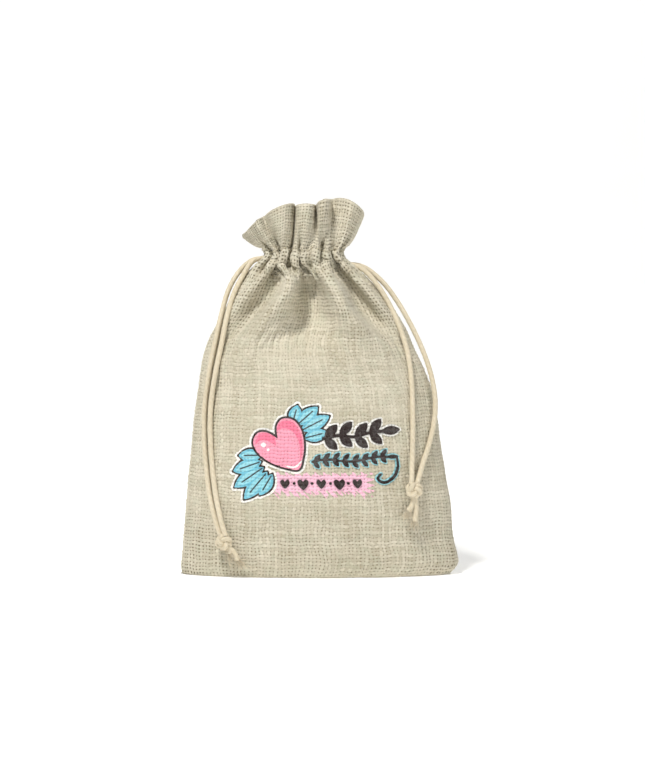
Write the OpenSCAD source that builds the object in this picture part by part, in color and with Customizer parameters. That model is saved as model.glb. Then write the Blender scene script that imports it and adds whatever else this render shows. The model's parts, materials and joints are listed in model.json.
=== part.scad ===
// Fabric gift sack with a gathered neck and two drawstrings.
// Millimetres. +Z is up, +X is to the right seen from the front, and the front faces -Y.
// The origin is on the floor, under the middle of the sack's flat base.

/* [Sack] */
// Width of the sack laid flat, seam to seam
sack_w = 100; // [90:1:110]
// Height of the cinched neck above the floor, at the top of the casing
neck_z = 116.6; // [110:0.2:122]
// Height of the top of the ruffle above the floor
top_z = 134.4; // [130:0.2:140]
// Depth of the flat base, front to back
base_d = 22; // [18:1:26]
// Depth of the filled belly, front to back
belly_d = 35; // [30:1:38]
// Thickness of one layer of cloth
cloth_t = 1.2; // [0.8:0.1:1.4]
// How far the neck leans to the side of the base
lean = -6.4; // [-8:0.2:0]

/* [Neck and ruffle] */
// Width of the cinched neck
neck_w = 28.6; // [26:0.2:32]
// Depth of the cinched neck
neck_d = 18; // [17:0.5:19]
// Width of the ruffle along its top edge
ruffle_w = 44; // [38:1:48]
// Depth of the ruffle along its top edge
ruffle_d = 22; // [18:1:26]
// Gathered pleats on each half of the neck
pleats = 5; // [3:1:7]
// Clear space left between the ruffle's halves, on each side of their meeting line
part_gap = 0.2; // [0.1:0.05:0.4]

/* [Drawstrings] */
// Diameter of the cord
cord_d = 1.8; // [1.4:0.1:2]
// Diameter of each tied knot
knot_d = 6; // [5:0.2:7]
// How far each drawstring pulls out to tighten the neck
pull_travel = 4; // [2:0.5:4.5]

/* [Print] */
// Width of the printed area on the front
print_w = 58; // [40:1:60]
// Height of the printed area
print_h = 33; // [24:1:36]

/* [Hidden] */

cloth_colour = "#cfc7ae";
cord_colour = "#e6dcc4";
thread_colour = "#bdb49a";

columns = 26; // cloth grid, across one half of the sack
cord_sides = 8;
casing_low = 106.6; // lower edge of the casing strip
casing_floor = 108.6; // the cord tunnel runs from here
casing_roof = 114.9; // up to here
left_exit_z = 112.9; // height at which the left cord leaves the neck
right_exit_z = 110.5; // and the right cord, below it in the tunnel
ruffle_z = neck_z + 0.4; // the ruffle starts just above the panels
strip_t = 0.7; // thickness of the casing strip
strip_w = 19; // the strip's own width and depth around the tunnel
strip_d = 6.9;
seam_t = 1.4; // thickness of an overlocked seam allowance
seam_w = 5; // and how far it reaches inward
film_t = 0.25;
cord_r = cord_d / 2;
strand_gap = 0.2; // clear space between two cords lying side by side
exit_y = cord_r + strand_gap;
joint_gap = 0.3; // clear space between pieces that move apart
left_exit_x = lean - neck_w / 2;
right_exit_x = lean + neck_w / 2;

// How the sack narrows from its base (1) to its neck (0), against height as a share of neck_z.
narrowing = [[0, 0.98], [0.05, 1], [0.12, 0.975], [0.26, 0.91], [0.42, 0.83], [0.56, 0.76], [0.68, 0.66],
    [0.76, 0.545], [0.84, 0.345], [0.9, 0.165], [0.935, 0.05], [0.965, 0.01], [1, 0.01]];
// Depth of the body as a share of the way from the neck's depth (0) to the belly's (1).
fullness = [[0, (base_d - neck_d) / (belly_d - neck_d)], [0.05, 0.56], [0.12, 0.76], [0.26, 0.95],
    [0.42, 1], [0.56, 0.94], [0.68, 0.8], [0.76, 0.62], [0.84, 0.38], [0.9, 0.18], [0.935, 0.06],
    [0.965, 0], [1, 0]];
// Heights of the rows of the cloth grid, as shares of neck_z.
rows = [0, 0.02, 0.05, 0.085, 0.12, 0.19, 0.26, 0.34, 0.42, 0.49, 0.56, 0.62, 0.68, 0.72, 0.76, 0.8, 0.84,
    0.87, 0.9, 0.92, 0.935, 0.965, 0.985, 1];
ruffle_rows = [0, 0.25, 0.5, 0.75, 1];

function mix(a, b, k) = a + (b - a) * k;
function unit(v) = v / norm(v);
function half_w(h) = mix(neck_w / 2, sack_w / 2, lookup(h, narrowing));
function half_d(h) = mix(neck_d / 2, belly_d / 2, lookup(h, fullness));
function centre_x(h) = lean * pow(h, 1.5);
// The body's outline is pointed at the side seams low down, and rounder near the neck.
function roundness(h) = mix(1.25, 0.75, pow(h, 3));
function pleat(f) = 0.5 - 0.5 * cos(360 * pleats * f);
function pleat_depth(h) = 1.1 * max(0, (h - 0.6) / 0.4);
// The cord's way out: at these heights the panels' side edges stand back from the seam.
function stand_back(z) = z > 108.2 && z < 115.8 ? 0.12 : 0;

// A point of the body's wall: h is the height's share, f runs 0 to 1 from left to right seam,
// inset moves it inward, and side is -1 on the front and 1 on the back.
function wall(h, f, inset, side) = [
    centre_x(h) - (half_w(h) - inset) * cos(180 * f),
    side * (half_d(h) - inset + pleat_depth(h) * pleat(f)) * pow(sin(180 * f), roundness(h)),
    h * neck_z
];
function wall_share(z, i) = let (back = stand_back(z)) mix(back, 1 - back, i / columns);

// One layer of a panel, from the base's edge up to the neck.
function panel_layer(side, inset) = [for (h = rows) [for (i = [0:columns])
    wall(h, wall_share(h * neck_z, i), inset, side)]];

// The ruffle is lower at its sides than in the middle.
function ruffle_height(f) = (top_z - ruffle_z) * (1 - 0.76 * pow(1 - f, 3) - 0.32 * pow(f, 3)) / 0.885;
function ruffle_layer(side, inset) = [for (r = ruffle_rows) [for (i = [0:columns])
    let (f = i / columns)
    [
        lean - (mix(neck_w / 2 + 0.6, ruffle_w / 2, r) - inset) * cos(180 * f),
        side * (part_gap + (mix(neck_d / 2 + 0.2, ruffle_d / 2 - 1.4, r) - inset + 1.2 * pleat(f))
            * pow(sin(180 * f), 0.8)),
        ruffle_z + ruffle_height(f) * r
    ]]];

// The casing strip is stitched to the panel above and below, and leaves a tunnel between.
strip_rows = [
    [casing_low, 2 * half_w(casing_low / neck_z) - 2 * cloth_t - 0.4,
        2 * half_d(casing_low / neck_z) - 2 * cloth_t - 0.4],
    [casing_floor, strip_w, strip_d], [casing_roof, strip_w, strip_d],
    [neck_z - 0.1, neck_w - 2 * cloth_t - 0.4, neck_d - 2 * cloth_t - 0.4]
];
function strip_layer(side, inset) = [for (r = strip_rows) [for (i = [0:columns])
    let (f = mix(0.28, 0.72, i / columns))
    [
        centre_x(r[0] / neck_z) - (r[1] / 2 - inset) * cos(180 * f),
        side * (r[2] / 2 - inset) * pow(sin(180 * f), roundness(r[0] / neck_z)),
        r[0]
    ]]];

// A closed solid between two grids of points of the same size.
module between(outer, inner) {
    n = len(outer);
    m = len(outer[0]);
    points = concat([for (row = outer) each row], [for (row = inner) each row]);
    function at(layer, j, i) = layer * n * m + j * m + i;
    grid = [for (layer = [0, 1], j = [0:n - 2], i = [0:m - 2])
        let (q = [at(layer, j, i), at(layer, j, i + 1), at(layer, j + 1, i + 1), at(layer, j + 1, i)])
        each layer == 0 ? [[q[0], q[2], q[1]], [q[0], q[3], q[2]]] : [[q[0], q[1], q[2]], [q[0], q[2], q[3]]]];
    rims = [for (j = [0, n - 1], i = [0:m - 2])
        let (q = [at(0, j, i), at(0, j, i + 1), at(1, j, i + 1), at(1, j, i)])
        each j == 0 ? [[q[0], q[1], q[2]], [q[0], q[2], q[3]]] : [[q[0], q[2], q[1]], [q[0], q[3], q[2]]]];
    sides = [for (i = [0, m - 1], j = [0:n - 2])
        let (q = [at(0, j, i), at(0, j + 1, i), at(1, j + 1, i), at(1, j, i)])
        each i == 0 ? [[q[0], q[2], q[1]], [q[0], q[3], q[2]]] : [[q[0], q[1], q[2]], [q[0], q[2], q[3]]]];
    polyhedron(points, concat(grid, rims, sides), convexity = 8);
}

// The front's grids run left to right, so the back's are turned over to keep its faces outward.
module shell(side, outer, inner) {
    if (side < 0)
        between(inner, outer);
    else
        between(outer, inner);
}

// A smooth curve through a route's points.
function blend4(p, t) = 0.5 * (2 * p[1] + (p[2] - p[0]) * t + (2 * p[0] - 5 * p[1] + 4 * p[2] - p[3]) * t * t
    + (3 * p[1] - p[0] - 3 * p[2] + p[3]) * t * t * t);
function smooth(route, steps) = let (n = len(route)) concat(
    [for (i = [0:n - 2], k = [0:steps - 1])
        blend4([route[max(i - 1, 0)], route[i], route[i + 1], route[min(i + 2, n - 1)]], k / steps)],
    [route[n - 1]]
);
function heading(line, i) = unit(line[min(i + 1, len(line) - 1)] - line[max(i - 1, 0)]);
// Each ring's side direction, carried along the line without twisting.
function carried(line, i, side, done) = i == len(line) ? done
    : let (t = heading(line, i), s = unit(side - (side * t) * t)) carried(line, i + 1, s, concat(done, [s]));

// A tube along a line of points.
module tube(line, r) {
    n = len(line);
    sides = carried(line, 0, [0, 1, 0], []);
    points = [for (j = [0:n - 1]) let (t = heading(line, j), s = sides[j], u = cross(t, s))
        each [for (i = [0:cord_sides - 1]) let (a = 360 * i / cord_sides)
            line[j] + r * (cos(a) * s + sin(a) * u)]];
    function at(j, i) = j * cord_sides + i % cord_sides;
    walls = [for (j = [0:n - 2], i = [0:cord_sides - 1])
        each [[at(j, i), at(j + 1, i + 1), at(j, i + 1)], [at(j, i), at(j + 1, i), at(j + 1, i + 1)]]];
    ends = [[for (i = [0:cord_sides - 1]) at(0, i)], [for (i = [cord_sides - 1:-1:0]) at(n - 1, i)]];
    polyhedron(points, concat(walls, ends), convexity = 10);
}

// Routes of the four hanging strands, from the neck down to their knots.
left_start_x = left_exit_x - 2 * joint_gap;
right_start_x = right_exit_x + 2 * joint_gap;
left_outer_route = [[left_start_x, exit_y, left_exit_z], [-25, 0.7, 112], [-29.3, -1.4, 108],
    [-32.9, -3.2, 101.5], [-35.4, -5.5, 92.5], [-37.5, -7.4, 82.5], [-39.4, -7.6, 73], [-41, -7.4, 62],
    [-41.3, -7.7, 51], [-40.6, -8.8, 40], [-39.2, -10, 29], [-37, -11.3, 20], [-35.3, -12.6, 15.3]];
left_inner_route = [[left_start_x, -exit_y, left_exit_z], [-24.5, -2, 111.7], [-27.9, -3.6, 106.5],
    [-31, -5.5, 100], [-33.4, -7.5, 91.5], [-35.2, -9.4, 82], [-37.1, -9.6, 73], [-38.8, -9.2, 62],
    [-39.1, -9.5, 51], [-38.4, -10.3, 40], [-37, -11.4, 29], [-35, -12.9, 20], [-33.4, -14, 15.3]];
right_outer_route = [[right_start_x, exit_y, right_exit_z], [12.5, 1.2, 110.6], [17, 0.4, 108.8],
    [22.4, -0.6, 104], [27.2, -1.6, 97.5], [31.8, -2.6, 89.5], [35.8, -3.4, 81], [38.8, -3.8, 72.5], [40.4, -4.4, 64],
    [40.2, -5.6, 56], [38.4, -7.8, 48], [35.8, -10.6, 40.5], [33.7, -13.7, 33.7]];
right_inner_route = [[right_start_x, -exit_y, right_exit_z], [12, -1.6, 110.4], [16, -2.8, 108],
    [20.6, -4, 102.6], [24.8, -5, 95.4], [28.2, -6.3, 87.4], [30.6, -7.9, 79.4], [31.8, -9, 71],
    [32.2, -10.3, 62], [32.3, -11.2, 53], [32.1, -12.2, 44], [31.7, -14.8, 33.7]];
// Middles of the knots, and the ends of the two tails below each.
left_knot_at = [-34.2, -13.4, 13.2];
left_tail_ends = [[-31.6, -13.4, 6.6], [-27.8, -13, 4.6]];
right_knot_at = [32.7, -14.4, 31.6];
right_tail_ends = [[30, -14.2, 21.8], [33, -13.6, 18]];

module front_panel() {
    color(cloth_colour) shell(-1, panel_layer(-1, 0), panel_layer(-1, cloth_t));
}

module back_panel() {
    color(cloth_colour) shell(1, panel_layer(1, 0), panel_layer(1, cloth_t));
}

module casing_strip(side) {
    color(cloth_colour) shell(side, strip_layer(side, 0), strip_layer(side, strip_t));
}

module ruffle(side) {
    color(cloth_colour) shell(side, ruffle_layer(side, 0), ruffle_layer(side, 2 * cloth_t - 0.2));
}

// The allowance inside a side seam, from the base up to the casing.
module side_seam(f) {
    inward = f == 0 ? 1 : -1;
    heights = [for (h = rows) if (h > 0.04 && h < 0.88) h];
    function strip(y) = [for (h = heights) let (x = wall(h, f, cloth_t, 1)[0] + inward * 0.2)
        [[x, y, h * neck_z], [x + inward * seam_w, y, h * neck_z]]];
    color(thread_colour) between(strip(inward * seam_t / 2), strip(-inward * seam_t / 2));
}

// The cloth between the two panels that the sack stands on.
module base_cloth() {
    edge = [for (side = [-1, 1], i = [0:columns - 1])
        let (p = wall(0, side < 0 ? i / columns : 1 - i / columns, cloth_t, side)) [p[0], p[1]]];
    color(cloth_colour) linear_extrude(cloth_t) polygon(edge);
}

module bottom_seam() {
    reach = sack_w / 2 - seam_w - 3;
    color(thread_colour) translate([-reach, -seam_t / 2, cloth_t]) cube([2 * reach, seam_t, seam_w]);
}

// A ring of sewn stitches round the casing at height z.
module stitch_row(z) {
    h = z / neck_z;
    per_half = 14;
    color(thread_colour) for (side = [-1, 1], k = [0:per_half - 1]) {
        f = mix(0.16, 0.84, (k + 0.5) / per_half);
        here = wall(h, f, 0.1, side);
        next = wall(h, f + 0.01, 0.1, side);
        along = unit([next[0] - here[0], next[1] - here[1], 0]);
        translate(here) rotate([0, 0, atan2(along[1], along[0])]) rotate([0, 90, 0])
            cylinder(h = 1.3, r = 0.25, center = true, $fn = 16);
    }
}

// The printed film follows the front panel's wall.
module print_film() {
    low = 28;
    mid_f = 0.48;
    half_f = 0.215 * print_w / 58;
    function film(inset) = [for (j = [0:10]) let (z = low + print_h * j / 10)
        [for (i = [0:14]) wall(z / neck_z, mid_f + half_f * (i / 7 - 1), inset, -1)]];
    color("#e58fb0") shell(-1, film(-film_t), film(0));
}

// The hidden part of a drawstring: round the neck inside the casing, and back to its own side.
module cord_run(side, z) {
    start_x = lean - side * (neck_w / 2 - pull_travel - 1.8);
    far = lean + side * 11.6;
    half = [[start_x, exit_y], [start_x + side * 0.3, 2.6], [lean - side * 6.6, 4], [lean - side * 2, 4.5],
        [lean + side * 3, 4.5], [lean + side * 8, 3.8], [far - side * 0.7, 1.8]];
    loop = concat([for (p = half) [p[0], -p[1], z]], [[far, 0, z]],
        [for (i = [len(half) - 1:-1:0]) [half[i][0], half[i][1], z]]);
    color(cord_colour) tube(smooth(loop, 2), cord_r);
}

// The two cord ends that slide out of the neck as the drawstring is pulled.
module cord_feed(side, z) {
    color(cord_colour) for (y = [-exit_y, exit_y])
        translate([lean - side * (neck_w / 2 + joint_gap), y, z]) rotate([0, -90 * side, 0])
            mirror([0, 0, 1]) cylinder(h = pull_travel + 0.9, r = cord_r, $fn = 24);
}

module strand(route) {
    color(cord_colour) tube(smooth(route, 2), cord_r);
}

// An overhand knot, as a rounded barrel.
module knot(middle) {
    r = knot_d / 2;
    color(cord_colour) translate(middle) rotate_extrude($fn = 32)
        intersection() {
            scale(r) circle(r = 1, $fn = 48);
            translate([0, -r * 0.75]) square([r, 1.5 * r]);
        }
}

module tails(middle, ends) {
    color(cord_colour) for (end = ends)
        let (from = middle + unit(end - middle) * (knot_d / 2 - 0.8))
        tube([for (k = [0:3]) mix(from, end, k / 3)], cord_r * 0.9);
}

front_panel();
back_panel();
base_cloth();
casing_strip(-1);  // front_casing_strip
casing_strip(1);  // back_casing_strip
side_seam(0);  // left_side_seam
side_seam(1);  // right_side_seam
bottom_seam();
stitch_row(116);  // upper_stitch_row
stitch_row(107.4);  // lower_stitch_row
print_film();
cord_run(1, left_exit_z);  // left_cord_run
cord_run(-1, right_exit_z);  // right_cord_run
ruffle(-1);  // front_ruffle
ruffle(1);  // back_ruffle
cord_feed(1, left_exit_z);  // left_cord_feed
strand(left_outer_route);  // left_outer_strand
strand(left_inner_route);  // left_inner_strand
knot(left_knot_at);  // left_knot
tails(left_knot_at, left_tail_ends);  // left_tails
cord_feed(-1, right_exit_z);  // right_cord_feed
strand(right_outer_route);  // right_outer_strand
strand(right_inner_route);  // right_inner_strand
knot(right_knot_at);  // right_knot
tails(right_knot_at, right_tail_ends);  // right_tails
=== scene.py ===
"""A filled-out burlap gift sack with a gathered neck, a ruffle, a printed front and two drawstrings."""
import json
import math
import bpy
import numpy as np
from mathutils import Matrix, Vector


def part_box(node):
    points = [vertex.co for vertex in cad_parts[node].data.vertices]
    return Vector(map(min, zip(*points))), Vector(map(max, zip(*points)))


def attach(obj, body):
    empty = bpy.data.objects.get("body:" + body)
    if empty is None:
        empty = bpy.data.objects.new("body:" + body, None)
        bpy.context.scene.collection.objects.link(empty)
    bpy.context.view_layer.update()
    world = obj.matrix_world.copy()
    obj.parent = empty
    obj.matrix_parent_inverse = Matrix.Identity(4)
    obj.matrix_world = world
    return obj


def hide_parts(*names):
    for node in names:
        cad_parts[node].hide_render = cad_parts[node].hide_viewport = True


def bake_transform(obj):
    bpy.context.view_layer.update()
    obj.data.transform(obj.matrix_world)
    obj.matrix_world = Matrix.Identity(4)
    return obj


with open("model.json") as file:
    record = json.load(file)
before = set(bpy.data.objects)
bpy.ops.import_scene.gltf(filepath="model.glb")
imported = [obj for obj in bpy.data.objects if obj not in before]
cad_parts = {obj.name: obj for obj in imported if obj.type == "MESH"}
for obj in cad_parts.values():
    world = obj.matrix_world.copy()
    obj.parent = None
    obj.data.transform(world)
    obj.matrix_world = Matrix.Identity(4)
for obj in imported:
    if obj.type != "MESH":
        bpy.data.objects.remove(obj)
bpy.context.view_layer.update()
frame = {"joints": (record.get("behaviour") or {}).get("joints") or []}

MM = 0.001  # the shapes below are worked out in millimetres

# ---------------------------------------------------------------- sizes, from the frame
def box_of(node):
    """A CAD node's lowest and highest corners, in mm."""
    return [np.array(corner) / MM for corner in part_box(node)]


JOINTS = {joint["name"]: joint for joint in frame["joints"]}
PIVOTS = {side: np.array(JOINTS[side + "_swing"]["pos_m"]) / MM for side in ("left", "right")}
OUTWARD = {"left": -1, "right": 1}
NECK_Z = box_of("front_panel")[1][2]
CINCH_Z = 114.2  # the drawstrings pull the neck in tightest here
LEAN = (PIVOTS["left"][0] + PIVOTS["right"][0]) / 2  # the neck's middle; it leans to the left
THREAD = 1.25  # spacing of the weave's threads
CLOTH = 0.9  # thickness of the cloth
RUFFLE_CLOTH = 1.5  # the ruffle is thicker: its cloth is folded over at the top
SIDE = 80  # threads across one side of the sack laid flat
AROUND = 2 * SIDE
CORD_D = 1.8  # thickness of a drawstring
CORD_R = CORD_D / 2


# ---------------------------------------------------------------- camera
def add_camera():
    camera = bpy.data.objects.new("camera", bpy.data.cameras.new("camera"))
    bpy.context.scene.collection.objects.link(camera)
    camera.data.sensor_fit = "HORIZONTAL"
    camera.data.sensor_width = 36
    camera.data.lens = 110
    wide = 0.2303  # metres across the view at the sack
    target = Vector((0.0005, 0, 0.0671))
    distance = wide * camera.data.lens / camera.data.sensor_width
    tilt = math.radians(3)
    camera.location = target + distance * Vector((0, -math.cos(tilt), math.sin(tilt)))
    camera.rotation_euler = (math.pi / 2 - tilt, 0, 0)
    camera.data.clip_end = 20
    bpy.context.scene.camera = camera


add_camera()


# ---------------------------------------------------------------- node graphs
class Graph:
    """Builds a material's nodes; values may be sockets or plain numbers."""

    def __init__(self, name):
        self.material = bpy.data.materials.new(name)
        self.material.use_nodes = True
        self.tree = self.material.node_tree
        self.bsdf = self.tree.nodes["Principled BSDF"]

    def node(self, kind, **settings):
        made = self.tree.nodes.new(kind)
        for key, value in settings.items():
            setattr(made, key, value)
        return made

    def put(self, socket, value):
        if isinstance(value, bpy.types.NodeSocket):
            self.tree.links.new(value, socket)
        else:
            socket.default_value = value

    def math(self, operation, a, b=None):
        made = self.node("ShaderNodeMath", operation=operation)
        for socket, value in zip(made.inputs, (a, b)):
            if value is not None:
                self.put(socket, value)
        return made.outputs[0]

    def add(self, a, b):
        return self.math("ADD", a, b)

    def mul(self, a, b):
        return self.math("MULTIPLY", a, b)

    def one_minus(self, a):
        return self.add(1.0, self.mul(a, -1.0))

    def spread(self, value, low, high, to_low=0.0, to_high=1.0):
        """Maps low..high smoothly onto to_low..to_high."""
        made = self.node("ShaderNodeMapRange", interpolation_type="SMOOTHSTEP")
        for socket, given in zip(made.inputs, (value, low, high, to_low, to_high)):
            self.put(socket, given)
        return made.outputs[0]

    def vector(self, x, y, z=0.0):
        made = self.node("ShaderNodeCombineXYZ")
        for socket, value in zip(made.inputs, (x, y, z)):
            self.put(socket, value)
        return made.outputs[0]

    def noise(self, vector, scale, detail=2.0):
        made = self.node("ShaderNodeTexNoise")
        self.put(made.inputs["Vector"], vector)
        made.inputs["Scale"].default_value = scale
        made.inputs["Detail"].default_value = detail
        return made.outputs["Fac"]

    def streaks(self, a, a_scale, b, b_scale, seed=0.0, detail=2.0):
        """Noise over two coordinates, each scaled by its own amount; seed picks the pattern."""
        return self.noise(self.vector(self.mul(a, a_scale), self.mul(b, b_scale), seed), 1.0, detail)

    def white(self, vector):
        made = self.node("ShaderNodeTexWhiteNoise", noise_dimensions="3D")
        self.put(made.inputs["Vector"], vector)
        return made.outputs["Value"]

    def mix(self, factor, a, b):
        """Colour a where factor is 0, b where it is 1."""
        made = self.node("ShaderNodeMix", data_type="RGBA")
        self.put(made.inputs["Factor"], factor)
        self.put(made.inputs[6], a)
        self.put(made.inputs[7], b)
        return made.outputs[2]

    def attribute(self, name):
        """The three parts of a mesh attribute."""
        made = self.node("ShaderNodeAttribute", attribute_name=name)
        split = self.node("ShaderNodeSeparateXYZ")
        self.tree.links.new(made.outputs["Vector"], split.inputs[0])
        return split.outputs

    def sheen(self, weight, roughness):
        self.bsdf.inputs["Sheen Weight"].default_value = weight
        self.bsdf.inputs["Sheen Roughness"].default_value = roughness

    def finish(self, colour, height, strength, distance, roughness):
        """Joins the colour and the bump to the shader."""
        bump = self.node("ShaderNodeBump")
        bump.inputs["Strength"].default_value = strength
        bump.inputs["Distance"].default_value = distance
        self.put(bump.inputs["Height"], height)
        self.tree.links.new(bump.outputs["Normal"], self.bsdf.inputs["Normal"])
        self.put(self.bsdf.inputs["Base Color"], colour)
        self.put(self.bsdf.inputs["Roughness"], roughness)
        self.bsdf.inputs["Specular IOR Level"].default_value = 0.25
        return self.material


def rgb(*screen):
    """A colour given as screen values from 0 to 255, as the shader's linear colour."""
    return tuple(((c / 255 + 0.055) / 1.055) ** 2.4 if c > 10 else c / 3295 for c in screen) + (1,)


def weave_material(name, ink=None, cover=0.0):
    """Plain weave that follows the mesh's "weave" attribute: warp, weft and how open the weave is.
    With ink, the threads are printed in that colour and cover says how much it fills the gaps.
    The low parts of the threads and the gaps between them are painted darker: painted shade."""
    g = Graph(name)
    u, v, openness = g.attribute("weave")
    plane = g.vector(u, v)
    wander_u = g.streaks(u, 0.8, v, 0.11, 3.1)
    wander_v = g.streaks(u, 0.11, v, 0.8, 8.7)
    u = g.add(u, g.mul(g.add(wander_u, -0.5), 0.75))
    v = g.add(v, g.mul(g.add(wander_v, -0.5), 0.75))
    column, row = g.math("FLOOR", u), g.math("FLOOR", v)

    def thread(across, along, own, seed, sign):
        """Height and tint of one set of threads at each point."""
        off = g.math("ABSOLUTE", g.add(g.math("FRACT", across), -0.5))
        slub = g.streaks(own, 3.7, along, 0.16, seed, 3.0)
        width = g.add(g.mul(slub, 0.42), g.add(0.235, g.mul(openness, -0.13)))
        inside = g.math("DIVIDE", off, width)
        round_top = g.math("SQRT", g.math("MAXIMUM", g.one_minus(g.mul(inside, inside)), 0.0))
        wave = g.math("SINE", g.mul(g.add(along, own), math.pi))
        height = g.add(g.mul(wave, 0.32 * sign), g.mul(round_top, 0.68))
        on_thread = g.spread(inside, 0.9, 1.02, 1.0, 0.0)
        height = g.add(g.mul(height, on_thread), g.add(on_thread, -1.0))
        shade = g.white(g.vector(own, seed, 0.5))
        drift = g.streaks(own, 1.9, along, 0.09, seed + 5)
        fibre = g.streaks(across, 9.0, along, 1.3, seed + 9, 3.0)
        tint = g.add(g.mul(shade, 0.16), g.add(g.mul(drift, 0.42), g.mul(fibre, 0.72)))
        return height, tint, fibre

    warp, warp_tint, warp_fibre = thread(u, v, column, 1.3, 1.0)
    weft, weft_tint, weft_fibre = thread(v, u, row, 6.1, -1.0)
    top = g.math("MAXIMUM", warp, weft)
    warp_on_top = g.math("GREATER_THAN", warp, weft)
    weft_on_top = g.one_minus(warp_on_top)
    tint = g.add(g.mul(warp_tint, warp_on_top), g.mul(weft_tint, weft_on_top))
    fibre = g.add(g.mul(warp_fibre, warp_on_top), g.mul(weft_fibre, weft_on_top))
    patch = g.noise(plane, 0.09, 3.0)
    tint = g.add(tint, g.mul(g.add(patch, -0.5), 0.35))
    # lit is 0 on the low parts of the threads and 1 on their tops; the colours below use it to paint shade
    # into the weave's recesses
    lit = g.spread(top, -0.55, 0.75, 0.0, 1.0)
    if ink is None:
        cloth = g.mix(g.spread(tint, 0.3, 1.05), rgb(176, 167, 143), rgb(229, 222, 204))
        green = g.noise(g.vector(u, v, 4.0), 0.35, 2.0)
        cloth = g.mix(g.spread(green, 0.42, 0.7, 0.0, 0.3), cloth, rgb(194, 196, 174))
        # painted shade: gap is a dark colour for the holes and low spots between threads, darker where the
        # weave is more open, and deep is a half-shaded copy of the cloth for the threads' low parts
        gap = g.mix(openness, rgb(156, 145, 118), rgb(98, 89, 66))
        deep = g.mix(0.45, gap, cloth)
        colour = g.mix(lit, deep, cloth)
        colour = g.mix(g.spread(top, -0.95, -0.45, 1.0, 0.0), colour, gap)
    else:
        light = tuple(c * 0.86 + 0.14 for c in ink[:3]) + (1,)
        # painted shade: dark is a shaded copy of the ink; cover mixes it with a shaded tan, and this paints
        # the low parts of the printed threads
        dark = tuple(c * 0.72 for c in ink[:3]) + (1,)
        colour = g.mix(g.spread(tint, 0.45, 1.1), ink, light)
        colour = g.mix(lit, g.mix(cover, rgb(150, 138, 112), dark), colour)
    relief = g.add(top, g.mul(fibre, 0.25))
    g.sheen(0.12, 0.5)
    return g.finish(colour, relief, 0.75, 0.00035, 0.9)


def cord_material():
    """Soft twisted cotton: "cord" holds distance along in mm, and the angle round in turns."""
    g = Graph("cotton_cord")
    along, turn, _ = g.attribute("cord")
    strand = g.math("SINE", g.mul(g.add(g.mul(turn, 3.0), g.mul(along, 0.42)), 2 * math.pi))
    fibre = g.streaks(along, 0.9, turn, 26.0, 2.0, 4.0)
    cross = g.streaks(along, 5.0, turn, 6.0, 7.0)
    drift = g.noise(g.vector(g.mul(along, 0.07), turn, 4.0), 1.0, 2.0)
    # the strand term also makes the grooves between the plies slightly darker: painted shade
    tint = g.add(g.mul(fibre, 0.7), g.add(g.mul(drift, 0.5), g.mul(strand, 0.04)))
    colour = g.mix(g.spread(tint, 0.35, 0.95), rgb(199, 187, 161), rgb(231, 220, 197))
    relief = g.add(g.mul(strand, 0.16), g.add(g.mul(fibre, 0.8), g.mul(cross, 0.25)))
    g.sheen(0.2, 0.4)
    g.bsdf.inputs["Subsurface Weight"].default_value = 0.08
    g.bsdf.inputs["Subsurface Radius"].default_value = (0.002, 0.0015, 0.001)
    return g.finish(colour, relief, 0.5, 0.00025, 0.8)


def thread_material():
    """Twisted sewing thread."""
    g = Graph("sewing_thread")
    along, turn, _ = g.attribute("cord")
    twist = g.math("SINE", g.mul(g.add(g.mul(turn, 2.0), g.mul(along, 1.1)), 2 * math.pi))
    fuzz = g.streaks(along, 2.0, turn, 8.0, detail=3.0)
    colour = g.mix(fuzz, rgb(176, 166, 138), rgb(226, 218, 196))
    return g.finish(colour, g.add(twist, fuzz), 0.4, 0.0001, 0.75)


# ---------------------------------------------------------------- meshes
def mesh_piece(name, points, faces, material, attribute=None, values=None):
    """A smooth object from points in mm; the named attribute has a vector for each point."""
    mesh = bpy.data.meshes.new(name)
    mesh.from_pydata((np.asarray(points, float) * MM).tolist(), [], [list(map(int, f)) for f in faces])
    if attribute:
        layer = mesh.attributes.new(attribute, "FLOAT_VECTOR", "POINT")
        layer.data.foreach_set("vector", np.asarray(values, np.float32).ravel())
    mesh.polygons.foreach_set("use_smooth", [True] * len(mesh.polygons))
    mesh.update()
    mesh.materials.append(material)
    piece = bpy.data.objects.new(name, mesh)
    bpy.context.scene.collection.objects.link(piece)
    return piece


def quads(rows, columns, offset=0, flip=False):
    """Faces of a grid of rows x columns points, numbered row by row."""
    j, i = np.meshgrid(np.arange(rows - 1), np.arange(columns - 1), indexing="ij")
    a = (j * columns + i + offset).ravel()
    faces = np.stack([a, a + 1, a + columns + 1, a + columns], axis=1)
    return faces[:, ::-1] if flip else faces


def rim_quads(rows, columns, inner):
    """Faces that join a grid's four edges to a second grid whose points start at inner."""
    bottom = np.arange(columns)
    top = bottom + (rows - 1) * columns
    left = np.arange(rows) * columns
    right = left + columns - 1
    joined = []
    for edge, flip in ((bottom, True), (top, False), (left, False), (right, True)):
        strip = np.stack([edge[:-1], edge[1:], edge[1:] + inner, edge[:-1] + inner], axis=1)
        joined.append(strip[:, ::-1] if flip else strip)
    return np.concatenate(joined)


def smooth_route(route, steps):
    """The same smooth curve through the route's points as the CAD's."""
    p = np.array(route, float)
    p = np.concatenate([p[:1], p, p[-1:]])
    line = []
    for i in range(1, len(p) - 2):
        for t in np.arange(steps) / steps:
            a, b, c, d = p[i - 1], p[i], p[i + 1], p[i + 2]
            line.append(0.5 * (2 * b + (c - a) * t + (2 * a - 5 * b + 4 * c - d) * t * t
                               + (3 * b - a - 3 * c + d) * t ** 3))
    return np.array(line + [p[-2]])


def run_along(line):
    """How far along the line each of its points is."""
    return np.concatenate([[0], np.cumsum(np.linalg.norm(np.diff(line, axis=0), axis=1))])


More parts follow.
